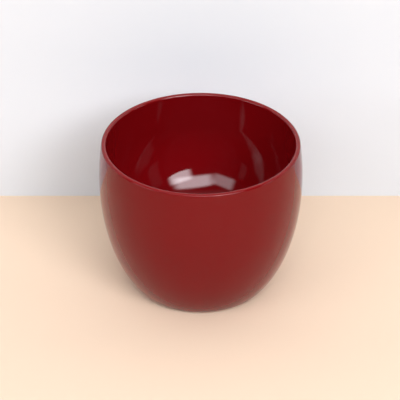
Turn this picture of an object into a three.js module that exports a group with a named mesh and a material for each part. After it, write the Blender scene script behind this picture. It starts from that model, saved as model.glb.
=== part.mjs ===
// A round sake cup turned from one block of wood and finished in red lacquer, inside and out.
//
// One curve in the (radius, height) plane is the whole finished surface. It starts at the centre of the
// bowl, climbs the inside wall, rounds the lip, runs down the barrel-shaped outside, turns under into a
// flush foot ring, and ends at the centre of the shallow recess turned into the underside. Each point
// carries the direction that faces out of the material there, so every coat of lacquer is the space
// between two depths below that curve, and the wood is all that is left below the deepest one. Coats that
// touch share the same points, which seats them face to face with nothing between them.
//
// Millimetres, +Z up. The origin is on the table, at the centre of the foot.
import * as THREE from 'three';

// Outside form
const CUP_HEIGHT = 48;
const BELLY_DIAMETER = 60;
const BELLY_HEIGHT = 35.7;        // height at which the outside is widest
const SHOULDER_RADIUS = 85;       // long arc that draws the wall in from the belly to the lip
const WALL_CENTRE_RADIUS = 9.4;   // distance from the cup's axis to the centre of the lower wall's ellipse
const WALL_RUNOUT = 4.4;          // how far below the table that ellipse would reach if it went on
const FOOT_TURN_RADIUS = 4.7;     // small arc that turns the wall under into the foot

// Lip and bowl
const LIP_THICKNESS = 1.5;
const BELLY_WALL_THICKNESS = 2;   // wall, lacquer included, where the inside is widest
const BOWL_WIDEST_HEIGHT = 36.5;
const BOWL_FLOOR_HEIGHT = 9;      // the bowl is round inside, so the bottom is thick and the cup sits firmly

// Foot
const FOOT_RING_WIDTH = 2.6;      // flat band that the cup stands on
const FOOT_RECESS_DEPTH = 1.6;
const FOOT_EDGE_RADIUS = 0.8;     // rounded inner edge of the ring
const FOOT_FILLET_RADIUS = 0.8;   // hollow corner at the top of the recess
const FOOT_COAT_EDGE_ANGLE = 15;  // degrees round the foot turn, where the foot's own coat takes over

// Lacquer
const TOP_COAT_THICKNESS = 0.12;
const UNDERCOAT_THICKNESS = 0.25;

// Facets
const FACETS_ROUND = 36;
const STEPS = { bowl: 8, insideWall: 1, halfLip: 2, shoulder: 2, lowerWall: 7, footTurn: 2, edge: 1, fillet: 2 };

const bellyRadius = BELLY_DIAMETER / 2;
const bowlRadius = bellyRadius - BELLY_WALL_THICKNESS;
const lipRadius = LIP_THICKNESS / 2;
const undercoatDepth = TOP_COAT_THICKNESS;
const woodDepth = TOP_COAT_THICKNESS + UNDERCOAT_THICKNESS;
const CREST = Math.PI / 2;        // the direction straight up, which is the top of the lip
const DOWN = -Math.PI / 2;
const SAME_POINT = 1e-6;

// A point of the finished surface, with the unit direction that faces out of the material.
function surfacePoint(r, z, outR, outZ) {
  const length = Math.hypot(outR, outZ);
  return { r, z, outR: outR / length, outZ: outZ / length };
}

function stretch(steps, from, to, pointAt) {
  const points = [];
  for (let i = 0; i <= steps; i++) points.push(pointAt(from + ((to - from) * i) / steps));
  return points;
}

// An arc whose material lies inside it, such as the lip, or outside it, such as a hollow corner.
function arc(centre, radius, from, to, steps, hollow = false) {
  const facing = hollow ? -1 : 1;
  return stretch(steps, from, to, (angle) => {
    const c = Math.cos(angle);
    const s = Math.sin(angle);
    return surfacePoint(centre.r + radius * c, centre.z + radius * s, facing * c, facing * s);
  });
}

// Stretches that follow one another share their end points, so a point that repeats the last one is dropped.
function join(...stretches) {
  const points = stretches.flat();
  return points.filter((p, i) => i === 0 || Math.hypot(p.r - points[i - 1].r, p.z - points[i - 1].z) > SAME_POINT);
}

function bisect(f, low, high) {
  const rising = f(high) > f(low);
  for (let i = 0; i < 60; i++) {
    const middle = (low + high) / 2;
    if (f(middle) > 0 === rising) high = middle;
    else low = middle;
  }
  return (low + high) / 2;
}

// The lip is a half round, tangent to the outside's shoulder arc and to the arc of the inside wall.
const shoulderCentre = { r: bellyRadius - SHOULDER_RADIUS, z: BELLY_HEIGHT };
const lipHeight = CUP_HEIGHT - lipRadius;
const shoulderAngle = Math.asin((lipHeight - BELLY_HEIGHT) / (SHOULDER_RADIUS - lipRadius));
const lipCentre = {
  r: shoulderCentre.r + (SHOULDER_RADIUS - lipRadius) * Math.cos(shoulderAngle),
  z: lipHeight,
};
const lipOffset = lipCentre.r - bowlRadius;
const lipRise = lipHeight - BOWL_WIDEST_HEIGHT;
const insideWallRadius = (lipOffset ** 2 + lipRise ** 2 - lipRadius ** 2) / (2 * (lipRadius - lipOffset));
const insideWallCentre = { r: bowlRadius - insideWallRadius, z: BOWL_WIDEST_HEIGHT };
const insideWallAngle = Math.asin(lipRise / (insideWallRadius + lipRadius));

// The lower wall is part of an ellipse, level with the belly at its widest.
const wallReach = bellyRadius - WALL_CENTRE_RADIUS;
const wallDrop = BELLY_HEIGHT + WALL_RUNOUT;
function lowerWallPoint(angle) {
  const c = Math.cos(angle);
  const s = Math.sin(angle);
  return surfacePoint(WALL_CENTRE_RADIUS + wallReach * c, BELLY_HEIGHT - wallDrop * s, c / wallReach, -s / wallDrop);
}

// The foot turn touches both the ellipse and the table: find where the ellipse hands over to it.
const wallEndAngle = bisect((angle) => {
  const end = lowerWallPoint(angle);
  return end.z - FOOT_TURN_RADIUS * (1 + end.outZ);
}, 0, Math.PI / 2);
const wallEnd = lowerWallPoint(wallEndAngle);
const footTurnStart = Math.asin(wallEnd.outZ);
const footTurnSplit = DOWN + THREE.MathUtils.degToRad(FOOT_COAT_EDGE_ANGLE);
const footTurnCentre = { r: wallEnd.r - FOOT_TURN_RADIUS * wallEnd.outR, z: FOOT_TURN_RADIUS };

// The recess is let into the underside by a rounded edge and a hollow corner.
const edgeRadius = Math.min(FOOT_EDGE_RADIUS, FOOT_RECESS_DEPTH / 2);
const filletRadius = Math.min(FOOT_FILLET_RADIUS, FOOT_RECESS_DEPTH - edgeRadius);
const edgeCentre = { r: footTurnCentre.r - FOOT_RING_WIDTH, z: edgeRadius };
const filletCentre = { r: edgeCentre.r - edgeRadius - filletRadius, z: FOOT_RECESS_DEPTH - filletRadius };

const inside = join(
  stretch(STEPS.bowl, 0, Math.PI / 2, (angle) => {
    const c = Math.cos(angle);
    const s = Math.sin(angle);
    const depth = BOWL_WIDEST_HEIGHT - BOWL_FLOOR_HEIGHT;
    return surfacePoint(bowlRadius * s, BOWL_WIDEST_HEIGHT - depth * c, -s / bowlRadius, c / depth);
  }),
  arc(insideWallCentre, insideWallRadius, 0, insideWallAngle, STEPS.insideWall, true),
  arc(lipCentre, lipRadius, Math.PI + insideWallAngle, CREST, STEPS.halfLip),
);
const outside = join(
  arc(lipCentre, lipRadius, CREST, shoulderAngle, STEPS.halfLip),
  arc(shoulderCentre, SHOULDER_RADIUS, shoulderAngle, 0, STEPS.shoulder),
  stretch(STEPS.lowerWall, 0, wallEndAngle, lowerWallPoint),
  arc(footTurnCentre, FOOT_TURN_RADIUS, footTurnStart, footTurnSplit, STEPS.footTurn),
);
const foot = join(
  arc(footTurnCentre, FOOT_TURN_RADIUS, footTurnSplit, DOWN, 1),
  arc(edgeCentre, edgeRadius, DOWN, -Math.PI, STEPS.edge),
  arc(filletCentre, filletRadius, 0, CREST, STEPS.fillet, true),
  [surfacePoint(0, FOOT_RECESS_DEPTH, 0, -1)],
);

// The curve that lies a given depth below a stretch of the finished surface.
function below(points, depth) {
  return points.map((p) => new THREE.Vector2(Math.max(0, p.r - depth * p.outR), p.z - depth * p.outZ));
}

// Turns a profile round the cup's axis. A lathe's faces point out where its profile climbs the outside.
function turned(name, profile, material) {
  const geometry = new THREE.LatheGeometry(profile.toReversed(), FACETS_ROUND);
  geometry.rotateX(Math.PI / 2);
  const mesh = new THREE.Mesh(geometry, material);
  mesh.name = name;
  return mesh;
}

// A coat lies between two depths. One that starts away from the axis closes on its own first point.
function coat(name, points, nearDepth, farDepth, material) {
  const profile = [...below(points, nearDepth), ...below(points, farDepth).reverse()];
  if (points[0].r > 0) profile.push(profile[0].clone());
  return turned(name, profile, material);
}

const redLacquer = new THREE.MeshStandardMaterial({ color: 0x8a1216, roughness: 0.08, metalness: 0 });
const groundLacquer = new THREE.MeshStandardMaterial({ color: 0x2c211c, roughness: 0.85, metalness: 0 });
const wood = new THREE.MeshStandardMaterial({ color: 0xc69c6d, roughness: 0.7, metalness: 0 });

function outsideCoats() {
  const group = new THREE.Group();
  group.add(
    coat('undercoat_outside', join(outside, foot), undercoatDepth, woodDepth, groundLacquer),
    coat('top_coat_outside', outside, 0, undercoatDepth, redLacquer),
    coat('foot_coat', foot, 0, undercoatDepth, redLacquer),
  );
  return group;
}

function insideCoats() {
  const group = new THREE.Group();
  group.add(
    coat('undercoat_inside', inside, undercoatDepth, woodDepth, groundLacquer),
    coat('top_coat_inside', inside, 0, undercoatDepth, redLacquer),
  );
  return group;
}

const cup = new THREE.Group();
cup.add(turned('wood_core', below(join(inside, outside, foot), woodDepth), wood), outsideCoats(), insideCoats());

export default cup;
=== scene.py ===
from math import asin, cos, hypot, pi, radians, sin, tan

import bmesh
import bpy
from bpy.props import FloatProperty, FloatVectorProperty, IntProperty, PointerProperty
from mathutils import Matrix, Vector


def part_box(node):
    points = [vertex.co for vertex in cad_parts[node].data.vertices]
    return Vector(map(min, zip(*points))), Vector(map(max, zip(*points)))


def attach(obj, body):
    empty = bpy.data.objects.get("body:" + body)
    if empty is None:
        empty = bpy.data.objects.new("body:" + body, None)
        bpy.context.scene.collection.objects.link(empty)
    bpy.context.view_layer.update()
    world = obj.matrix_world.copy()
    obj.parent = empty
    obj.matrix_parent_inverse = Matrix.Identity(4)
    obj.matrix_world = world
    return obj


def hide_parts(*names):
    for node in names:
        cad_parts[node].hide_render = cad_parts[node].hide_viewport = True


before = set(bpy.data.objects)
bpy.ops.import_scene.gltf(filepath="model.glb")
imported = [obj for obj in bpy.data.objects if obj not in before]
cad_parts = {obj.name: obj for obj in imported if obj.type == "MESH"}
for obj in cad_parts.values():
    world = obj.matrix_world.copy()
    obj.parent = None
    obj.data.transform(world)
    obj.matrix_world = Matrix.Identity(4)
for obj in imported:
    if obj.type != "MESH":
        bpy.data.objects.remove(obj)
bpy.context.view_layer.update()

# A round sake cup of turned wood in red lacquer, on a pale table in front of a pale wall.
#
# One curve in the (radius, height) plane is the whole finished surface, from the centre of the bowl over
# the lip and down the outside to the centre of the recess underneath. Every coat is the space between two
# depths below that curve, and the wood is what is left below the deepest. All of them are turned from it.

bl_info = {
    "name": "Lacquer Sake Cup",
    "version": (1, 0, 0),
    "blender": (4, 5, 0),
    "location": "3D View > Sidebar > Sake Cup",
    "description": "Makes a red lacquer sake cup, coat by coat, and the table that it stands on",
    "category": "Add Mesh",
}

CUP_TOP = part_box("top_coat_outside")[1]     # highest corner of the outside coat, in metres
BODY = "root"
MM = 0.001
SAME_POINT = 1e-9                           # metres between two points that count as one
BISECTIONS = 60

# The table, the wall and the lamps
CUP_CENTRE = Vector((0, 0, 30 * MM))
LAMP_DISTANCE = 2.0
DAYLIGHT = (0.98, 0.95, 1)
DIFFUSER_MARGIN = 0.25                      # share of a lamp panel over which its glow fades out at each edge
STAGE_REACH = 1.5                           # half the width of the table
WALL_HEIGHT = 0.9
TABLE_GAP = 0.02 * MM                       # keeps the table's surface just clear of the foot
SKY_GLOW = 0.04                             # strength of the world where the camera doesn't see it
SENSOR_WIDTH = 36                           # millimetres, as the focal length is

# The lacquer
LACQUER_IOR = 1.42
LIP_HIGHLIGHT_FADE = 0.5 * MM                         # the lacquer is painted lighter over this height below the lip's crest: a painted highlight along the lip, where the lacquer also thins
SCUFF_MARGIN = 0.5 * MM                     # rubbed wear dies out this far from the foot's flat band
RIPPLE_HEIGHT = 0.02 * MM                   # of the low waves that brushing leaves in the top coat
RIPPLE_STRENGTH = 0.35


def length(name, default, description):
    """A size in metres that can't be less than nothing."""
    return FloatProperty(
        name=name,
        description=description,
        default=default,
        min=0,
        precision=5,
        unit="LENGTH",
        subtype="DISTANCE",
    )


def colour(name, default, description):
    return FloatVectorProperty(
        name=name, description=description, default=default, min=0, max=1, size=3, subtype="COLOR"
    )


def factor(name, default, description):
    return FloatProperty(name=name, description=description, default=default, min=0, max=1, subtype="FACTOR")


def angle(name, default, description):
    """An angle, given in degrees."""
    return FloatProperty(name=name, description=description, default=radians(default), subtype="ANGLE")


class CupShape(bpy.types.PropertyGroup):
    """The sizes that the whole outline is worked out from."""

    cup_height: length("Cup Height", CUP_TOP[2], "Height of the lip's crest above the table")
    belly_radius: length("Belly Radius", CUP_TOP[0], "Radius of the outside where it is widest")
    belly_height: length("Belly Height", 35.7 * MM, "Height at which the outside is widest")
    shoulder_radius: length("Shoulder Radius", 85 * MM, "Long arc that draws the wall in to the lip")
    wall_centre: length("Wall Centre", 9.4 * MM, "From the axis to the centre of the lower wall's ellipse")
    wall_runout: length("Wall Run-out", 4.4 * MM, "How far below the table that ellipse would reach")
    foot_turn: length("Foot Turn", 4.7 * MM, "Small arc that turns the wall under into the foot")
    lip_thickness: length("Lip Thickness", 1.5 * MM, "Thickness of the rounded lip")
    wall_thickness: length("Wall Thickness", 2 * MM, "Thickness of the wall where the inside is widest")
    bowl_height: length("Bowl Height", 36.5 * MM, "Height at which the inside is widest")
    bowl_floor: length("Bowl Floor", 9 * MM, "Height of the lowest point inside")
    ring_width: length("Ring Width", 2.6 * MM, "Flat band that the cup stands on")
    recess_depth: length("Recess Depth", 1.6 * MM, "Depth of the recess in the underside")
    recess_edge: length("Recess Edge", 0.8 * MM, "Radius of the recess's rounded edge and hollow corner")
    foot_coat_angle: angle("Foot Coat Angle", 15, "How far round the foot turn the foot's own coat reaches")
    top_coat: length("Top Coat", 0.12 * MM, "Thickness of the red lacquer")
    undercoat: length("Undercoat", 0.25 * MM, "Thickness of the dark ground below it")
    facets: IntProperty(name="Facets", description="Steps round the cup", default=144, min=24)


class CupFinish(bpy.types.PropertyGroup):
    """The colours and the polish of each layer."""

    red: colour("Red", (0.142, 0.0014, 0.0028), "The red lacquer's own colour")
    # On the foot this colour is the rubbed wear of the standing band; near the lip's crest it is a painted
    # highlight along the lip
    thin_red_and_lip_highlight: colour("Thin Red", (0.26, 0.010, 0.008), "The lacquer where it is thin, as on an edge")
    polish: factor("Polish Roughness", 0.035, "Roughness of the polished red lacquer")
    shine_inside: factor("Shine Inside", 0.5, "Strength of the reflections in the bowl")
    shine_outside: factor("Shine Outside", 0.3, "Strength of the reflections on the outside and the foot")
    ground: colour("Ground", (0.025, 0.016, 0.012), "The dark undercoat")
    wood_light: colour("Wood, Light", (0.58, 0.37, 0.19), "Early wood between the rings")
    wood_dark: colour("Wood, Dark", (0.36, 0.19, 0.08), "Late wood in the rings")


class CupStage(bpy.types.PropertyGroup):
    """The table, the wall, the lamps and the camera."""

    table: colour("Table", (0.775, 0.615, 0.455), "The pale table")
    wall: colour("Wall", (0.665, 0.715, 0.74), "The pale wall")
    wall_distance: length("Wall Distance", 46 * MM, "Distance of the wall behind the cup's axis")
    camera_distance: length("Camera Distance", 700 * MM, "Distance from the camera to the point it looks at")
    camera_rise: angle("Camera Rise", 32.65, "How far above the horizontal the camera stands")
    target: FloatVectorProperty(
        name="Target",
        description="The point the camera looks at",
        default=(-0.24 * MM, 0, 27.85 * MM),
        unit="LENGTH",
        subtype="XYZ",
    )
    lens: FloatProperty(name="Lens", description="Focal length in millimetres", default=212.25, min=1)


# The curve of the finished surface

class CurvePoint:
    """A point of the finished surface, with the unit direction that faces out of the material."""

    def __init__(self, r, z, out_r, out_z):
        size = hypot(out_r, out_z)
        self.r, self.z = r, z
        self.out_r, self.out_z = out_r / size, out_z / size

    def below(self, depth, facing=1):
        """The point at a depth below this one, with the direction that its own surface faces."""
        place = (max(0.0, self.r - depth * self.out_r), self.z - depth * self.out_z)
        return (*place, facing * self.out_r, facing * self.out_z)


def stretch(steps, start, end, point_at):
    """Points at even steps of whatever point_at takes."""
    return [point_at(start + (end - start) * i / steps) for i in range(steps + 1)]


def arc(centre, radius, start, end, steps, hollow=False):
    """An arc whose material lies inside it, such as the lip, or outside it, such as a hollow corner."""
    facing = -1 if hollow else 1

    def point_at(angle):
        c, s = cos(angle), sin(angle)
        return CurvePoint(centre[0] + radius * c, centre[1] + radius * s, facing * c, facing * s)

    return stretch(steps, start, end, point_at)


def join(*stretches):
    """Stretches in a row, without the points that repeat the one before."""
    points = []
    for p in (p for part in stretches for p in part):
        if not points or hypot(p.r - points[-1].r, p.z - points[-1].z) > SAME_POINT:
            points.append(p)
    return points


def bisect(f, low, high):
    """Where f changes its sign between low and high."""
    rising = f(high) > f(low)
    for _ in range(BISECTIONS):
        middle = (low + high) / 2
        if (f(middle) > 0) == rising:
            high = middle
        else:
            low = middle
    return (low + high) / 2


def cup_curve(s):
    """The finished surface in three stretches: inside, outside and foot."""
    lip = s.lip_thickness / 2
    bowl_radius = s.belly_radius - s.wall_thickness
    crest, down = pi / 2, -pi / 2

    lip_height = s.cup_height - lip
    shoulder_centre = (s.belly_radius - s.shoulder_radius, s.belly_height)
    shoulder_angle = asin((lip_height - s.belly_height) / (s.shoulder_radius - lip))
    lip_centre = (shoulder_centre[0] + (s.shoulder_radius - lip) * cos(shoulder_angle), lip_height)

    lip_offset = lip_centre[0] - bowl_radius
    lip_rise = lip_height - s.bowl_height
    inner_radius = (lip_offset ** 2 + lip_rise ** 2 - lip ** 2) / (2 * (lip - lip_offset))
    inner_centre = (bowl_radius - inner_radius, s.bowl_height)
    inner_angle = asin(lip_rise / (inner_radius + lip))

    bowl_depth = s.bowl_height - s.bowl_floor

    def bowl_point(angle):
        return CurvePoint(
            bowl_radius * sin(angle),
            s.bowl_height - bowl_depth * cos(angle),
            -sin(angle) / bowl_radius,
            cos(angle) / bowl_depth,
        )

    reach = s.belly_radius - s.wall_centre
    drop = s.belly_height + s.wall_runout

    def wall_point(angle):
        c, t = cos(angle), sin(angle)
        return CurvePoint(s.wall_centre + reach * c, s.belly_height - drop * t, c / reach, -t / drop)

    def above_turn(angle):
        end = wall_point(angle)
        return end.z - s.foot_turn * (1 + end.out_z)

    wall_end_angle = bisect(above_turn, 0, pi / 2)
    wall_end = wall_point(wall_end_angle)
    turn_centre = (wall_end.r - s.foot_turn * wall_end.out_r, s.foot_turn)
    turn_split = down + s.foot_coat_angle

    edge = min(s.recess_edge, s.recess_depth / 2)
    edge_centre = (turn_centre[0] - s.ring_width, edge)
    fillet = s.recess_depth - edge
    fillet_centre = (edge_centre[0] - edge - fillet, s.recess_depth - fillet)

    inside = join(
        stretch(40, 0, pi / 2, bowl_point),
        arc(inner_centre, inner_radius, 0, inner_angle, 8, hollow=True),
        arc(lip_centre, lip, pi + inner_angle, crest, 10),
    )
    outside = join(
        arc(lip_centre, lip, crest, shoulder_angle, 10),
        arc(shoulder_centre, s.shoulder_radius, shoulder_angle, 0, 10),
        stretch(36, 0, wall_end_angle, wall_point),
        arc(turn_centre, s.foot_turn, asin(wall_end.out_z), turn_split, 10),
    )
    foot = join(
        arc(turn_centre, s.foot_turn, turn_split, down, 4),
        arc(edge_centre, edge, down, -pi, 8),
        arc(fillet_centre, fillet, 0, crest, 8, hollow=True),
        stretch(6, fillet_centre[0], 0, lambda r: CurvePoint(r, s.recess_depth, 0, -1)),
    )
    return inside, outside, foot


# Turned pieces

def turned(name, profile, facets, finish):
    """Turns a profile round the axis. A profile that starts off the axis closes on its first point."""
    mesh = bmesh.new()
    rings, normals = [], []
    turns = [2 * pi * k / facets for k in range(facets)]
    for r, z, out_r, out_z in profile:
        if r == 0:
            rings.append([mesh.verts.new((0, 0, z))] * facets)
            normals.append((0, 0, out_z))
        else:
            rings.append([mesh.verts.new((r * cos(a), r * sin(a), z)) for a in turns])
            normals += [(out_r * cos(a), out_r * sin(a), out_z) for a in turns]
    closing = [] if profile[0][0] == 0 else [(rings[-1], rings[0])]
    for upper, lower in [*zip(rings, rings[1:]), *closing]:
        for k in range(facets):
            corners = [upper[k], lower[k], lower[(k + 1) % facets], upper[(k + 1) % facets]]
            corners = list(dict.fromkeys(corners))
            if len(corners) > 2:
                mesh.faces.new(corners).smooth = True
    bmesh.ops.recalc_face_normals(mesh, faces=mesh.faces)
    data = bpy.data.meshes.new(name)
    mesh.to_mesh(data)
    mesh.free()
    data.normals_split_custom_set_from_vertices(normals)
    data.materials.append(finish)
    piece = bpy.data.objects.new(name, data)
    bpy.context.scene.collection.objects.link(piece)
    return piece


def coat(name, points, near, far, facets, finish):
    """The layer between two depths below a stretch of the finished surface."""
    profile = [p.below(near) for p in points] + [p.below(far, facing=-1) for p in reversed(points)]
    return turned(name, profile, facets, finish)


def settle(piece, node):
    """A piece stands for one node, rides on the cup and takes its finish from one slot."""
    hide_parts(node)
    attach(piece, BODY)


# Finishes

class Wire:
    """One output of a node, so that sums with it are written as plain expressions."""

    def __init__(self, nodes, socket):
        self.nodes = nodes
        self.socket = socket

    def sum(self, operation, *values):
        return self.nodes.node("ShaderNodeMath", {"operation": operation}, dict(enumerate(values)))

    def __add__(self, other):
        return self.sum("ADD", self, other)

    def __sub__(self, other):
        return self.sum("SUBTRACT", self, other)

    def __rsub__(self, other):
        return self.sum("SUBTRACT", other, self)

    def __mul__(self, other):
        return self.sum("MULTIPLY", self, other)

    __radd__ = __add__
    __rmul__ = __mul__


class Nodes:
    """The nodes of a material, a lamp or the world in the making."""

    def __init__(self, owner):
        self.owner = owner
        owner.use_nodes = True
        self.tree = owner.node_tree
        self.tree.nodes.clear()

    def node(self, kind, settings, sockets, output=0):
        """Adds a node, sets its settings and then its sockets, and gives one of its outputs."""
        node = self.tree.nodes.new(kind)
        for key, value in settings.items():
            setattr(node, key, value)
        for key, value in sockets.items():
            if isinstance(value, Wire):
                self.tree.links.new(value.socket, node.inputs[key])
            else:
                node.inputs[key].default_value = value
        return Wire(self, node.outputs[output]) if node.outputs else None

    def fade(self, value, start, end):
        """0 at start and 1 at end, and smooth between them."""
        return self.node(
            "ShaderNodeMapRange",
            {"interpolation_type": "SMOOTHSTEP"},
            {"Value": value, "From Min": start, "From Max": end},
        )


class Finish(Nodes):
    """A material in the making."""

    def __init__(self, name):
        super().__init__(bpy.data.materials.new(name))

    def place(self):
        return self.node("ShaderNodeTexCoord", {}, {}, "Object")

    def stretched(self, place, scale):
        return self.node("ShaderNodeMapping", {}, {"Vector": place, "Scale": scale})

    def noise(self, place, scale, detail=2.0):
        return self.node("ShaderNodeTexNoise", {}, {"Vector": place, "Scale": scale, "Detail": detail}, "Fac")

    def mix(self, amount, first, second):
        """A colour between two others. The Mix node's sockets 0, 6 and 7 are its factor and its colours."""
        first, second = (c if isinstance(c, Wire) else (*c, 1) for c in (first, second))
        return self.node("ShaderNodeMix", {"data_type": "RGBA"}, {0: amount, 6: first, 7: second}, 2)

    def bump(self, height, distance, strength=1.0):
        relief = {"Height": height, "Distance": distance, "Strength": strength}
        return self.node("ShaderNodeBump", {}, relief)

    def surface(self, **sockets):
        """Ends the finish in one shader and gives the material. Socket names have _ for a space here."""
        look = {name.replace("_", " "): value for name, value in sockets.items()}
        shader = self.node("ShaderNodeBsdfPrincipled", {}, look)
        self.node("ShaderNodeOutputMaterial", {}, {"Surface": shader})
        return self.owner


def red_lacquer(name, look, shine, lip_highlight_low, lip_highlight_high):
    """Polished red lacquer, brushed round the cup, painted lighter between two heights below the lip's crest
    as a painted highlight along the lip, where the lacquer also thins.
    """
    f = Finish(name)
    place = f.place()
    height = f.node("ShaderNodeSeparateXYZ", {}, {"Vector": place}, "Z")
    cloud = f.noise(place, 60)
    brushed = f.noise(f.stretched(place, (40, 40, 2600)), 1, 3)
    # The base colour is painted lighter towards the lip's crest: a painted highlight along the lip, where the
    # lacquer also thins
    thin_and_highlit = f.fade(height, lip_highlight_low, lip_highlight_high)
    body = f.mix(cloud * 0.22, look.red, [c * 0.8 for c in look.red])
    waves = f.noise(place, 95, 1)
    return f.surface(
        Base_Color=f.mix(thin_and_highlit * 0.35 + brushed * 0.04, body, look.thin_red_and_lip_highlight),
        Roughness=look.polish + cloud * 0.012 + brushed * 0.012 + thin_and_highlit * 0.02,
        IOR=LACQUER_IOR,
        Specular_IOR_Level=shine,
        Normal=f.bump(waves + brushed * 0.02, RIPPLE_HEIGHT, RIPPLE_STRENGTH),
    )


def foot_lacquer(name, look, ring_inner, ring_outer):
    """The same lacquer underneath, rubbed on the band that the cup stands on."""
    f = Finish(name)
    place = f.place()
    split = {"Vector": place}
    x = f.node("ShaderNodeSeparateXYZ", {}, split, "X")
    y = f.node("ShaderNodeSeparateXYZ", {}, split, "Y")
    radius = f.node("ShaderNodeMath", {"operation": "SQRT"}, {0: x * x + y * y})
    inner_edge = f.fade(radius, ring_inner - SCUFF_MARGIN, ring_inner)
    outer_edge = f.fade(radius, ring_outer + SCUFF_MARGIN, ring_outer)
    band = inner_edge * outer_edge
    scuffs = f.noise(f.stretched(place, (900, 220, 400)), 1, 5)
    rubbed = band * f.fade(scuffs, 0.42, 0.7)
    cloud = f.noise(place, 70)
    body = f.mix(cloud * 0.25, look.red, [c * 0.75 for c in look.red])
    return f.surface(
        Base_Color=f.mix(rubbed * 0.4, body, look.thin_red_and_lip_highlight),
        Roughness=look.polish + 0.02 + cloud * 0.02 + rubbed * 0.22,
        IOR=LACQUER_IOR,
        Specular_IOR_Level=look.shine_outside,
        Normal=f.bump(f.noise(place, 110, 1) - rubbed * 0.3, RIPPLE_HEIGHT, RIPPLE_STRENGTH),
    )


def ground_lacquer(name, look):
    """Dark undercoat, stoned flat and matte."""
    f = Finish(name)
    place = f.place()
    grit = f.noise(place, 4200, 6)
    stoned = f.noise(f.stretched(place, (300, 300, 3200)), 1, 4)
    return f.surface(
        Base_Color=f.mix(grit * 0.6, look.ground, [c * 2.2 for c in look.ground]),
        Roughness=0.72 + stoned * 0.2,
        Normal=f.bump(grit * 0.5 + stoned * 0.5, 0.03 * MM),
    )


def turned_wood(name, look):
    """Upright growth rings cut by the bowl, with fine pores along the grain."""
    f = Finish(name)
    place = f.place()
    sway = f.node("ShaderNodeTexNoise", {}, {"Vector": place, "Scale": 25.0, "Detail": 2.0}, "Color")
    reach = (6 * MM, 6 * MM, 20 * MM)
    bent = f.node("ShaderNodeVectorMath", {"operation": "MULTIPLY_ADD"}, {0: sway, 1: reach, 2: place})
    rings = f.node(
        "ShaderNodeTexWave",
        {"wave_type": "BANDS", "bands_direction": "X", "wave_profile": "SAW"},
        {"Vector": bent, "Scale": 95.0, "Distortion": 1.2, "Detail": 2.0},
        "Fac",
    )
    pores = f.fade(f.noise(f.stretched(place, (2600, 2600, 160)), 1, 3), 0.56, 0.7)
    return f.surface(
        Base_Color=f.mix(rings * 0.75 + pores * 0.3, look.wood_light, look.wood_dark),
        Roughness=0.62 + pores * 0.15,
        Normal=f.bump(rings * 0.3 - pores, 0.05 * MM),
    )


def one_sided(name, shade):
    """A pale even surface for the stage, which can be seen through from behind."""
    f = Finish(name)
    look = {"Base Color": (*shade, 1), "Roughness": 0.7, "Specular IOR Level": 0.2}
    pale = f.node("ShaderNodeBsdfPrincipled", {}, look)
    clear = f.node("ShaderNodeBsdfTransparent", {}, {})
    behind = f.node("ShaderNodeNewGeometry", {}, {}, "Backfacing")
    either = f.node("ShaderNodeMixShader", {}, {0: behind, 1: pale, 2: clear})
    f.node("ShaderNodeOutputMaterial", {}, {"Surface": either})
    return f.owner


def daylight_world(name, glow, background):
    """A dim even sky, which the camera sees as a pale background."""
    n = Nodes(bpy.data.worlds.new(name))
    seen = n.node("ShaderNodeLightPath", {}, {}, "Is Camera Ray")
    strength = seen + (1 - seen) * glow
    sky = n.node("ShaderNodeBackground", {}, {"Color": (*background, 1), "Strength": strength})
    n.node("ShaderNodeOutputWorld", {}, {"Surface": sky})
    return n.owner


# Operators

class SAKECUP_OT_wood_core(bpy.types.Operator):
    """Turn the wooden cup that lies under all the lacquer"""

    bl_idname = "sakecup.wood_core"
    bl_label = "Wood Core"

    def execute(self, context):
        shape = context.scene.cup_shape
        depth = shape.top_coat + shape.undercoat
        inside, outside, foot = cup_curve(shape)
        profile = [p.below(depth) for p in join(inside, outside, foot)]
        finish = turned_wood("Turned wood", context.scene.cup_finish)
        piece = turned("turned_wood", profile, shape.facets, finish)
        settle(piece, "wood_core")
        return {"FINISHED"}


class SAKECUP_OT_undercoats(bpy.types.Operator):
    """Lay the dark ground coats inside and outside"""

    bl_idname = "sakecup.undercoats"
    bl_label = "Undercoats"

    def execute(self, context):
        shape = context.scene.cup_shape
        inside, outside, foot = cup_curve(shape)
        near = shape.top_coat
        far = near + shape.undercoat
        finish = ground_lacquer("Ground lacquer", context.scene.cup_finish)
        for side, points in (("inside", inside), ("outside", join(outside, foot))):
            piece = coat(f"ground_{side}", points, near, far, shape.facets, finish)
            settle(piece, f"undercoat_{side}")
        return {"FINISHED"}


class SAKECUP_OT_top_coats(bpy.types.Operator):
    """Lay the polished red coats inside and outside"""

    bl_idname = "sakecup.top_coats"
    bl_label = "Top Coats"

    def execute(self, context):
        shape = context.scene.cup_shape
        inside, outside, _ = cup_curve(shape)
        look = context.scene.cup_finish
        crest = shape.cup_height
        sides = (("inside", inside, look.shine_inside), ("outside", outside, look.shine_outside))
        for side, points, shine in sides:
            finish = red_lacquer(f"Red lacquer {side}", look, shine, crest - LIP_HIGHLIGHT_FADE, crest)
            piece = coat(f"red_{side}", points, 0, shape.top_coat, shape.facets, finish)
            settle(piece, f"top_coat_{side}")
        return {"FINISHED"}


class SAKECUP_OT_foot_coat(bpy.types.Operator):
    """Lay the red coat of the foot ring and its recess"""

    bl_idname = "sakecup.foot_coat"
    bl_label = "Foot Coat"

    def execute(self, context):
        shape = context.scene.cup_shape
        foot = cup_curve(shape)[2]
        standing = [p.r for p in foot if abs(p.z) < SAME_POINT]
        finish = foot_lacquer("Red lacquer foot", context.scene.cup_finish, min(standing), max(standing))
        piece = coat("red_foot", foot, 0, shape.top_coat, shape.facets, finish)
        settle(piece, "foot_coat")
        return {"FINISHED"}


def rectangle(name, corners, finish):
    """A flat stage surface."""
    data = bpy.data.meshes.new(name)
    data.from_pydata(corners, [], [(0, 1, 2, 3)])
    data.materials.append(finish)
    surface = bpy.data.objects.new(name, data)
    bpy.context.scene.collection.objects.link(surface)


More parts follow.
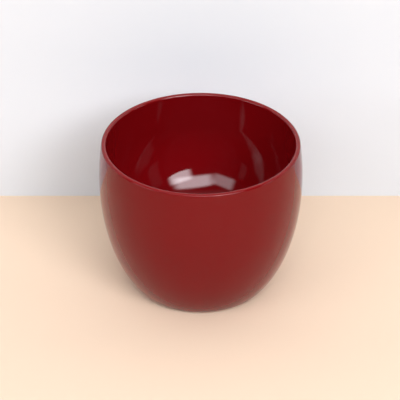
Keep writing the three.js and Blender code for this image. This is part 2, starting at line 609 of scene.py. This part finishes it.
def soften_edges(lamp):
    """Fades a lamp panel's glow towards its edges, as a diffuser does."""
    n = Nodes(lamp)
    across = n.node("ShaderNodeNewGeometry", {}, {}, "Parametric")
    u = n.node("ShaderNodeSeparateXYZ", {}, {"Vector": across}, "X")
    v = n.node("ShaderNodeSeparateXYZ", {}, {"Vector": across}, "Y")
    glow = 1
    for side in (u, v):
        glow = n.fade(side, 0, DIFFUSER_MARGIN) * n.fade(side, 1, 1 - DIFFUSER_MARGIN) * glow
    light = n.node("ShaderNodeEmission", {}, {"Strength": glow})
    n.node("ShaderNodeOutputLight", {}, {"Surface": light})


def softbox(name, turn, rise, width, tall, radiance):
    """A lamp panel that the cup sees as a patch of its sky, with every angle in degrees.

    turn is measured from straight behind the cup towards +X, and rise from the table up. width and tall
    are how much of the sky the panel fills.
    """
    turn, rise = radians(turn), radians(rise)
    out = Vector((sin(turn) * cos(rise), cos(turn) * cos(rise), sin(rise)))
    data = bpy.data.lights.new(name, "AREA")
    data.shape = "RECTANGLE"
    data.size = 2 * LAMP_DISTANCE * tan(radians(width) / 2)
    data.size_y = 2 * LAMP_DISTANCE * tan(radians(tall) / 2)
    data.energy = radiance * pi * data.size * data.size_y
    data.color = DAYLIGHT
    soften_edges(data)
    lamp = bpy.data.objects.new(name, data)
    lamp.location = CUP_CENTRE + out * LAMP_DISTANCE
    lamp.rotation_euler = (-out).to_track_quat("-Z", "Y").to_euler()
    bpy.context.scene.collection.objects.link(lamp)


class SAKECUP_OT_stage(bpy.types.Operator):
    """Set the table, the wall, the lamps and the camera"""

    bl_idname = "sakecup.stage"
    bl_label = "Stage"

    def execute(self, context):
        stage = context.scene.cup_stage
        reach, base = STAGE_REACH, -TABLE_GAP
        back, top = stage.wall_distance, WALL_HEIGHT
        rectangle(
            "table_top",
            [(-reach, -reach, base), (reach, -reach, base), (reach, reach, base), (-reach, reach, base)],
            one_sided("Pale table", stage.table),
        )
        rectangle(
            "wall",
            [(-reach, back, base), (reach, back, base), (reach, back, top), (-reach, back, top)],
            one_sided("Pale wall", stage.wall),
        )
        softbox("window_high", 168, 42, 58, 19, 10.4)
        softbox("window_low", 149, 32, 36, 18, 11.5)
        softbox("window_far", 216, 37, 34, 17, 4.6)
        softbox("left_side", 244, 18, 34, 20, 6)
        softbox("right_side", 103, 16, 20, 14, 6)
        softbox("ceiling", 180, 84, 80, 68, 0.8)
        context.scene.world = daylight_world("Soft daylight", SKY_GLOW, stage.wall)

        data = bpy.data.cameras.new("Camera")
        data.lens = stage.lens
        data.sensor_width = SENSOR_WIDTH
        data.clip_start = 0.01
        camera = bpy.data.objects.new("Camera", data)
        rise = stage.camera_rise
        towards = Vector((0, cos(rise), -sin(rise)))
        camera.location = Vector(stage.target) - towards * stage.camera_distance
        camera.rotation_euler = towards.to_track_quat("-Z", "Y").to_euler()
        context.scene.collection.objects.link(camera)
        context.scene.camera = camera
        context.scene.view_settings.view_transform = "Standard"
        return {"FINISHED"}


class SAKECUP_PT_panel(bpy.types.Panel):
    """The cup's sizes, finishes and stage, and a button for each step"""

    bl_label = "Sake Cup"
    bl_idname = "SAKECUP_PT_panel"
    bl_space_type = "VIEW_3D"
    bl_region_type = "UI"
    bl_category = "Sake Cup"

    def draw(self, context):
        for group in (context.scene.cup_shape, context.scene.cup_finish, context.scene.cup_stage):
            box = self.layout.box()
            for name in group.__annotations__:
                box.prop(group, name)
        for operator in OPERATORS:
            self.layout.operator(operator.bl_idname)


OPERATORS = (
    SAKECUP_OT_stage,
    SAKECUP_OT_wood_core,
    SAKECUP_OT_undercoats,
    SAKECUP_OT_top_coats,
    SAKECUP_OT_foot_coat,
)
GROUPS = {"cup_shape": CupShape, "cup_finish": CupFinish, "cup_stage": CupStage}


def register():
    for cls in (*GROUPS.values(), *OPERATORS, SAKECUP_PT_panel):
        bpy.utils.register_class(cls)
    for name, group in GROUPS.items():
        setattr(bpy.types.Scene, name, PointerProperty(type=group))


def unregister():
    for name in GROUPS:
        delattr(bpy.types.Scene, name)
    for cls in (SAKECUP_PT_panel, *reversed(OPERATORS), *GROUPS.values()):
        bpy.utils.unregister_class(cls)


def main():
    register()
    bpy.ops.sakecup.stage()
    bpy.ops.sakecup.wood_core()
    bpy.ops.sakecup.undercoats()
    bpy.ops.sakecup.top_coats()
    bpy.ops.sakecup.foot_coat()


if __name__ == "__main__":
    main()
